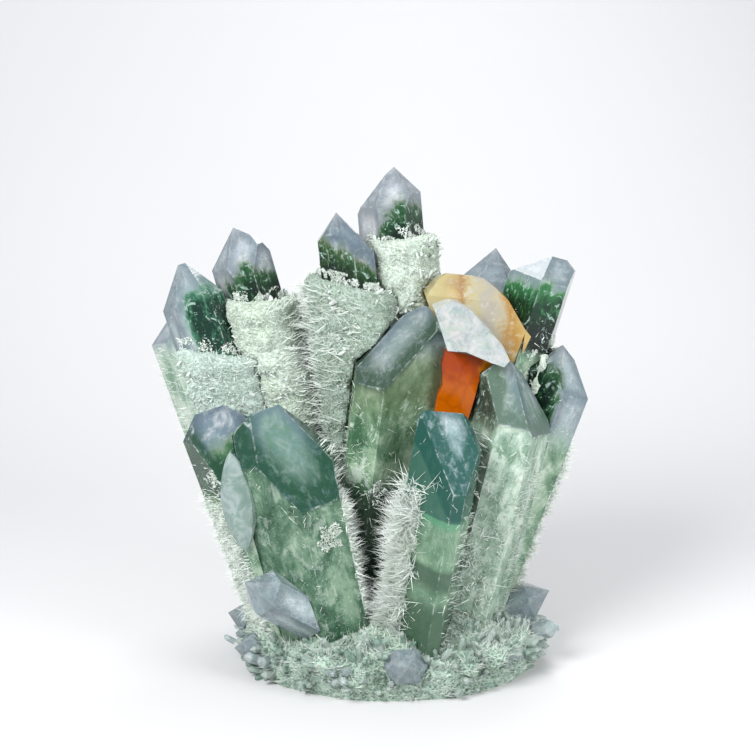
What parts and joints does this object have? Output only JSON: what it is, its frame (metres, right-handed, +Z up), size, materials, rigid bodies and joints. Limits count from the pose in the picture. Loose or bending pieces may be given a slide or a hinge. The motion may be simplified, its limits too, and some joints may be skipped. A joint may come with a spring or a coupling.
{
  "type": "green quartz cluster",
  "caption": "Cluster of green quartz crystals fanning out of a flat-bottomed druse crust, with clear tips, coated stems and orange, yellow and colourless pieces between them.",
  "frame": {"origin": "centre of the bounding box at the level the crust rests on", "axes": "+X to the right of the front view, +Y to the back, +Z up"},
  "size_m": [0.123, 0.0898, 0.1366],
  "materials": {
    "crust": "rough druse of small quartz points",
    "green_quartz": "clear tips over milky green bodies with dark green chlorite",
    "orange_quartz": "glossy deep orange, see-through",
    "clear_quartz": "glossy, colourless",
    "yellow_quartz": "glossy pale yellow with rust patches",
    "small_points": "clear, faintly blue-gray",
    "druse": "pale green-white needle druse"
  },
  "bodies": {
    "root": {"base_crust": "crust", "crystal_front": "green_quartz", "crystal_front_left": "green_quartz", "crystal_front_far_left": "green_quartz", "crystal_centre": "green_quartz", "crystal_front_right": "green_quartz", "crystal_right": "green_quartz", "crystal_left": "green_quartz", "crystal_far_left": "green_quartz", "crystal_upper": "green_quartz", "crystal_top": "green_quartz", "crystal_back_left": "green_quartz", "crystal_right_back": "green_quartz", "crystal_far_right": "green_quartz", "crystal_inner": "green_quartz", "crystal_back_middle": "green_quartz", "crystal_back_right": "green_quartz", "crystal_back_far_left": "green_quartz", "orange_block": "orange_quartz", "clear_cap": "clear_quartz", "yellow_crystal": "yellow_quartz", "small_crystal_front_left": "small_points", "small_crystal_leaf": "small_points", "small_crystal_right_upper": "small_points", "small_crystal_right_lower": "small_points", "small_crystal_left_upper": "small_points", "small_crystal_left_lower": "small_points", "small_crystal_front": "small_points", "druse_upper_stem": "druse", "druse_top_stem": "druse", "druse_left_stem": "druse", "druse_back_left_stem": "druse", "druse_needle_wall": "druse", "druse_front_left_edge": "druse", "druse_far_left_edge": "druse", "druse_right_edge": "druse", "druse_far_right_stem": "druse", "druse_front_right_foot": "druse", "druse_inner_stem": "druse", "druse_back_middle_stem": "druse", "druse_back_right_stem": "druse"}
  },
  "joints": []
}
